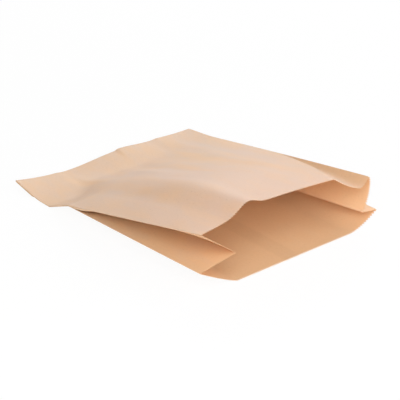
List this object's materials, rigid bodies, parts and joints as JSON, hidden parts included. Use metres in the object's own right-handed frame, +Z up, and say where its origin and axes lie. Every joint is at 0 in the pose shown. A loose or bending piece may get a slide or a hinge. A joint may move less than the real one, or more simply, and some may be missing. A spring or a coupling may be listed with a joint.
{
  "type": "brown paper lunch bag",
  "caption": "Flat kraft paper lunch bag with gusseted sides, a folded and glued bottom and a toothed mouth, lying with the mouth propped open.",
  "frame": {"origin": "bottom centre of the bag's box, on the surface it lies on", "axes": "+X along the bag towards its open mouth, +Y across the bag, +Z up from the surface it lies on"},
  "size_m": [0.2182, 0.1704, 0.0563],
  "materials": {
    "kraft_paper": "matte"
  },
  "bodies": {
    "root": {"paper_bag": "kraft_paper"}
  },
  "joints": []
}
